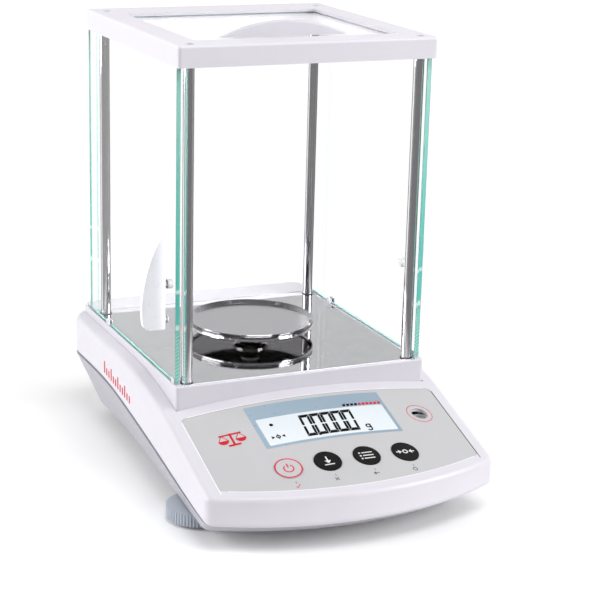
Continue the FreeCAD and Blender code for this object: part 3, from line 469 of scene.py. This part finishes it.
def zero(x, y):
    """The six lit segments of a zero, its lower left corner at (x, y)."""
    half = DIGIT_HEIGHT / 2
    shapes = [bar_segment(DIGIT_HEIGHT, 1), bar_segment(0, -1)]
    for tip in (0, DIGIT_HEIGHT):
        shapes += [side_segment(0, -1, tip, half), side_segment(DIGIT_WIDTH, 1, tip, half)]
    return [[(x + px + DIGIT_LEAN * py, y + py) for px, py in shape] for shape in shapes]


window = on_panel(0.04)
reading = []
for place in range(DIGIT_COUNT):
    reading += zero(READING_X + DIGIT_PITCH * place, READING_Y)
point_x = READING_X + 0.9 * DIGIT_PITCH
reading.append([(point_x, POINT_LOW_Y), (point_x + POINT_SIZE, POINT_LOW_Y),
                (point_x + POINT_SIZE + 0.1, POINT_LOW_Y + POINT_SIZE),
                (point_x + 0.1, POINT_LOW_Y + POINT_SIZE)])
printed("display_reading", reading, window, segment_ink)
unit = annulus(UNIT_X, UNIT_Y, 1.95, 0.95, steps=28)
unit += stroke(UNIT_X + 1.5, UNIT_Y + 1.9, UNIT_X + 1.5, UNIT_Y - 3.0, 1.0)
unit += annulus(UNIT_X, UNIT_Y - 3.0, 2.0, 1.0, 200, 360, 16)
printed("display_unit", unit, window, segment_ink)
marks = disc(*STEADY_MARK, 1.35)
marks += annulus(ZERO_MARK_X, ZERO_MARK_Y, 1.6, 0.85, steps=24)
marks += stroke(ZERO_MARK_X, ZERO_MARK_Y - 2.6, ZERO_MARK_X, ZERO_MARK_Y + 2.6, 0.5)
for sign in (-1, 1):
    marks.append([(ZERO_MARK_X + sign * 4.6, ZERO_MARK_Y + sign * 1.4),
                  (ZERO_MARK_X + sign * 2.3, ZERO_MARK_Y),
                  (ZERO_MARK_X + sign * 4.6, ZERO_MARK_Y - sign * 1.4)])
printed("display_marks", marks, window, segment_ink)

film = on_panel(0.02)
printed("level_ring", annulus(LEVEL_X, LEVEL_Y, 8.9, 8.45, steps=72), film, rose)

OVERLAY_HALF, OVERLAY_TOP_Y, OVERLAY_SIDE_END_Y = 90.7, -61.2, -135.0
FRONT_Y, BOW_RADIUS, OVERLAY_INSET = -158.5, 225.0, 6.8


def path_stroke(points, width):
    """A line of even width along a chain of points."""
    quads = []
    for start, end in zip(points, points[1:]):
        quads += stroke(*start, *end, width)
    return quads


LINE_HALF, LINE_PARTS = 86.0, 40
across = [LINE_HALF * (2 * i / LINE_PARTS - 1) for i in range(LINE_PARTS + 1)]
radius = BOW_RADIUS - OVERLAY_INSET
front_line = [(x, FRONT_Y + BOW_RADIUS - math.sqrt(radius ** 2 - x ** 2)) for x in across]
# Painted highlight along the overlay's top, left and front edges; painted shadow in the gap along
# its right edge.
painted_highlight_lines = path_stroke([(x, OVERLAY_TOP_Y) for x in across], 0.5)
painted_highlight_lines += stroke(-OVERLAY_HALF, OVERLAY_TOP_Y - 3, -OVERLAY_HALF, OVERLAY_SIDE_END_Y, 0.6)
painted_highlight_lines += path_stroke(front_line, 0.4)
lip = on_panel(OVERLAY_SUNK + 0.02)
printed("overlay_lit_edge", painted_highlight_lines, lip, painted_edge_highlight)
painted_shadow_line = stroke(OVERLAY_HALF, OVERLAY_TOP_Y - 3, OVERLAY_HALF, OVERLAY_SIDE_END_Y, 0.6)
printed("overlay_shadow_edge", painted_shadow_line, lip, painted_gap_shadow)

BAR_COUNT, DARK_BARS, BAR_PITCH = 10, 4, 2.85
BAR_X, BAR_Y, BAR_WIDTH, BAR_HEIGHT, BAR_LEAN = 18.0, -76.6, 2.1, 2.3, 0.4


def slanted_bar(x):
    """One leaning bar of the row on the bezel, its lower left corner at x."""
    top = BAR_Y + BAR_HEIGHT
    return [(x, BAR_Y), (x + BAR_WIDTH, BAR_Y), (x + BAR_WIDTH + BAR_LEAN, top),
            (x + BAR_LEAN, top)]


bars = [slanted_bar(BAR_X + BAR_PITCH * i) for i in range(BAR_COUNT)]
printed("bezel_bars_dark", bars[:DARK_BARS], film, segment_ink)
printed("bezel_bars_red", bars[DARK_BARS:], film, crimson)


def scales_symbol(x, y):
    """A plain two-pan weighing symbol."""
    shapes = stroke(x, y - 5.6, x, y + 5.2, 1.5) + stroke(x - 7.6, y + 4.2, x + 7.6, y + 4.2, 1.5)
    shapes += stroke(x - 4.2, y - 6.0, x + 4.2, y - 6.0, 1.7)
    for sign in (-1, 1):
        middle_x = x + sign * 5.9
        bowl = [(middle_x + 3.6 * math.cos(a), y - 0.6 + 3.6 * math.sin(a))
                for a in (math.radians(180 + 15 * i) for i in range(13))]
        shapes.append(bowl)
        for lean in (-1, 1):
            shapes += stroke(middle_x + lean * 0.3, y + 3.8, middle_x + lean * 3.2, y - 0.7, 0.5)
    return shapes


SCALES_X, SCALES_Y = -66.0, -89.6
printed("scales_symbol", scales_symbol(SCALES_X, SCALES_Y), film, crimson)


def on_side(lift):
    """Maps (y, z) to a point lift outside the left wall."""
    return lambda y, z: Vector((-HALF_WIDTH - lift, y, z)) * MM


TICK_COUNT, TICK_REAR_Y, TICK_PITCH, TICK_WIDTH = 12, 67.5, 5.0, 2.4
TICK_REAR_Z, TICK_SLOPE = 55.4, 0.085       # the row's foot drops towards the front
TICK_TALL, TICK_SHORT, TALL_EVERY = 8.6, 5.2, 3
ticks = []
for i in range(TICK_COUNT):
    y = TICK_REAR_Y - TICK_PITCH * i
    foot = TICK_REAR_Z - TICK_SLOPE * TICK_PITCH * i
    ticks += stroke(y, foot, y, foot + (TICK_SHORT if i % TALL_EVERY else TICK_TALL), TICK_WIDTH)
printed("side_graduation", ticks, on_side(0.02), crimson)


def on_key(lift):
    """Maps a panel (x, y) to a point lift above the keys' faces."""
    return lambda x, y: Vector((x, y, panel_z(x, y) + KEY_PROUD + lift)) * MM


def power_symbol(x, y):
    """A broken ring with a stroke in its gap."""
    return annulus(x, y - 0.4, 3.6, 2.75, 125, 415, 40) + stroke(x, y + 0.4, x, y + 4.2, 0.9)


def print_symbol(x, y):
    """An arrow down to a line."""
    shapes = stroke(x - 3.4, y - 3.4, x + 3.4, y - 3.4, 0.9)
    shapes += stroke(x, y + 4.0, x, y - 0.4, 1.0)
    return shapes + [[(x - 2.3, y + 0.3), (x, y - 2.3), (x + 2.3, y + 0.3)]]


def function_symbol(x, y):
    """A list of three lines."""
    shapes = []
    for rise in (-2.7, 0.0, 2.7):
        shapes += disc(x - 4.2, y + rise, 0.7, 12)
        shapes += stroke(x - 2.6, y + rise, x + 4.8, y + rise, 0.85)
    return shapes


def tare_symbol(x, y):
    """A ring between two arrows that point at it."""
    shapes = annulus(x, y, 1.9, 1.1, steps=24)
    for sign in (-1, 1):
        shapes += stroke(x + sign * 6.4, y, x + sign * 4.4, y, 0.85)
        shapes += [[(x + sign * 4.6, y + sign * 1.7), (x + sign * 2.4, y),
                    (x + sign * 4.6, y - sign * 1.7)]]
    return shapes


cap = on_key(0.02)
ring = annulus(KEY_XS["power"], KEY_Y, 9.0, 8.1, steps=72)
printed("power_key_ring", ring, cap, rose, "power_key")
KEY_SYMBOLS = {"power": (power_symbol, rose), "print": (print_symbol, print_white),
               "function": (function_symbol, print_white), "tare": (tare_symbol, print_white)}
for key, (symbol, shade) in KEY_SYMBOLS.items():
    printed("%s_key_symbol" % key, symbol(KEY_XS[key], KEY_Y), cap, shade, "%s_key" % key)

CAPTION_Y, CAPTION_LINE = -143.4, 0.5
POINTER_TOP_Y, POINTER_FOOT_Y, POINTER_LINE = KEY_Y - 12.4, KEY_Y - 14.0, 0.4


def tick_mark(x, y):
    """A tick."""
    return (stroke(x - 1.3, y, x - 0.1, y - 1.2, CAPTION_LINE)
            + stroke(x - 0.2, y - 1.2, x + 2.2, y + 1.5, CAPTION_LINE))


def cross_mark(x, y):
    """A cross."""
    return (stroke(x - 1.3, y - 1.3, x + 1.3, y + 1.3, CAPTION_LINE)
            + stroke(x - 1.3, y + 1.3, x + 1.3, y - 1.3, CAPTION_LINE))


def back_mark(x, y):
    """An arrow to the left."""
    return ([[(x - 2.0, y), (x - 0.2, y - 1.4), (x - 0.2, y + 1.4)]]
            + stroke(x - 0.3, y, x + 2.0, y, CAPTION_LINE))


CAPTION_XS = {key: x - 0.9 for key, x in KEY_XS.items()}
printed("power_caption", tick_mark(KEY_XS["power"] - 0.8, CAPTION_Y), film, rose)
captions = cross_mark(CAPTION_XS["print"], CAPTION_Y) + back_mark(CAPTION_XS["function"], CAPTION_Y)
captions += annulus(CAPTION_XS["tare"], CAPTION_Y, 1.6, 1.1, steps=20)
for x in KEY_XS.values():
    captions += stroke(x - 0.4, POINTER_TOP_Y, x - 0.4, POINTER_FOOT_Y, POINTER_LINE)
printed("key_captions", captions, film, print_grey)

# ---- ground glass edges ---------------------------------------------------------------------
EDGE_PROUD, EDGE_DEPTH, EDGE_INSET = 0.00004, 0.00016, 0.00015


def edge_strip(node, body, axis, side, shade):
    """The ground edge on one face of a pane, facing low (-1) or high (1) along an axis."""
    low, high = [Vector(corner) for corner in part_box(node)]
    for other in range(3):
        if other != axis:
            low[other] += EDGE_INSET
            high[other] -= EDGE_INSET
    if side < 0:
        low[axis] -= EDGE_PROUD
        high[axis] = low[axis] + EDGE_DEPTH
    else:
        high[axis] += EDGE_PROUD
        low[axis] = high[axis] - EDGE_DEPTH
    work = bmesh.new()
    bmesh.ops.create_cube(work, size=1.0)
    work.transform(Matrix.Translation((low + high) / 2) @ Matrix.Diagonal((*(high - low), 1)))
    name = "%s_edge_%s%s" % (node, "low" if side < 0 else "high", "xyz"[axis])
    mesh = bpy.data.meshes.new(name)
    work.to_mesh(mesh)
    work.free()
    mesh.materials.append(shade.material)
    piece = bpy.data.objects.new(name, mesh)
    bpy.context.scene.collection.objects.link(piece)
    bevel = piece.modifiers.new("arris", "BEVEL")
    bevel.width = EDGE_DEPTH / 3
    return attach(piece, body)


for hand in ("left", "right"):
    for axis, side in ((AXIS_Y, -1), (AXIS_Y, 1), (AXIS_Z, -1), (AXIS_Z, 1)):
        edge_strip("%s_door_glass" % hand, "%s_door" % hand, axis, side, door_edge)
for pane in ("front_pane", "rear_pane"):
    for side in (-1, 1):
        edge_strip(pane, "balance", AXIS_X, side, pane_edge)
for axis, side in ((AXIS_Y, -1), (AXIS_Y, 1)):
    edge_strip("top_door_glass", "top_door", axis, side, pane_edge)


# ---- studio ---------------------------------------------------------------------------------
def softbox(name, place, size, watts):
    """A square or oblong lamp that faces the balance."""
    data = bpy.data.lights.new(name, "AREA")
    data.shape = "RECTANGLE"
    data.size, data.size_y = size
    data.energy = watts
    lamp = bpy.data.objects.new(name, data)
    bpy.context.scene.collection.objects.link(lamp)
    lamp.location = place
    lamp.rotation_euler = (LIT - Vector(place)).to_track_quat("-Z", "Y").to_euler()


LIT = Vector((0.0, 0.0, 0.15))
softbox("left_softbox", (-1.5, 0.3, 0.6), (1.2, 1.2), 22.5)
softbox("front_right_softbox", (1.4, -1.3, 0.8), (1.0, 1.0), 34.0)
softbox("overhead_front_softbox", (0.0, -0.9, 1.8), (1.2, 0.8), 16.5)

WORLD_FRONT, WORLD_BACK, WORLD_TOP = 0.25, 1.02, 0.30
BACKDROP = 1.05
REACHING_THE_WORLD = 1.0        # Ray Depth counts this for a ray that leaves the scene


def grey(value):
    """A grey with full opacity."""
    return (value, value, value, 1)


# The room is dark in front and bright behind; a plain white backdrop is all that is seen past
# the balance, straight or through its glass.
world = bpy.data.worlds.new("studio")
bpy.context.scene.world = world
world.use_nodes = True
tree = world.node_tree
coordinates = tree.nodes.new("ShaderNodeTexCoord").outputs["Generated"]
direction = tree.nodes.new("ShaderNodeSeparateXYZ")
tree.links.new(coordinates, direction.inputs[0])
to_back = smooth_step(tree, direction.outputs["Y"], -0.2, 0.4)
around = blend_colours(tree, to_back, grey(WORLD_FRONT), grey(WORLD_BACK))
to_top = smooth_step(tree, direction.outputs["Z"], 0.45, 0.9)
room = blend_colours(tree, to_top, around, grey(WORLD_TOP))
path = tree.nodes.new("ShaderNodeLightPath")
bounces = two_way(tree, "SUBTRACT", path.outputs["Ray Depth"], path.outputs["Transmission Depth"])
unbounced = two_way(tree, "LESS_THAN", bounces, REACHING_THE_WORLD + 0.5)
sky = blend_colours(tree, unbounced, room, grey(BACKDROP))
tree.links.new(sky, tree.nodes["Background"].inputs["Color"])

FLOOR_SIZE, FLOOR_FADE_FROM, FLOOR_FADE_TO = 1.2, 0.20, 0.40
floor_mesh = bpy.data.meshes.new("floor")
floor_work = bmesh.new()
bmesh.ops.create_grid(floor_work, x_segments=4, y_segments=4, size=FLOOR_SIZE)
floor_work.to_mesh(floor_mesh)
floor_work.free()
floor = bpy.data.objects.new("floor", floor_mesh)
bpy.context.scene.collection.objects.link(floor)
floor_shade = Shade("studio_floor", (0.93, 0.93, 0.93), 0.7)
floor_shade.mottle(0.004, 0.5)
distance = floor_shade.tree.nodes.new("ShaderNodeVectorMath")
distance.operation = "LENGTH"
floor_shade.link(floor_shade.place, distance.inputs[0])
faded = smooth_step(floor_shade.tree, distance.outputs["Value"], FLOOR_FADE_FROM, FLOOR_FADE_TO)
solid_part = two_way(floor_shade.tree, "SUBTRACT", 1.0, faded)
floor_shade.link(solid_part, floor_shade.shader.inputs["Alpha"])
floor_mesh.materials.append(floor_shade.material)

# ---- camera ---------------------------------------------------------------------------------
YAW, PITCH, ROLL = math.radians(24.22), math.radians(16.29), math.radians(1.5)
CAMERA_PLACE = (-0.4563, -1.0575, 0.4552)
FILM_WIDTH, FOCAL_LENGTH = 36.0, 104.74
forward = Vector((math.sin(YAW) * math.cos(PITCH), math.cos(YAW) * math.cos(PITCH),
                  -math.sin(PITCH)))
level = Vector((math.cos(YAW), -math.sin(YAW), 0))
above = level.cross(forward)
right = level * math.cos(ROLL) + above * math.sin(ROLL)
up = above * math.cos(ROLL) - level * math.sin(ROLL)
lens = bpy.data.cameras.new("camera")
lens.sensor_width = FILM_WIDTH
lens.lens = FOCAL_LENGTH
camera = bpy.data.objects.new("camera", lens)
bpy.context.scene.collection.objects.link(camera)
camera.matrix_world = (Matrix.Translation(CAMERA_PLACE)
                       @ Matrix((right, up, -forward)).transposed().to_4x4())
bpy.context.scene.camera = camera
bpy.context.scene.view_settings.view_transform = "Standard"
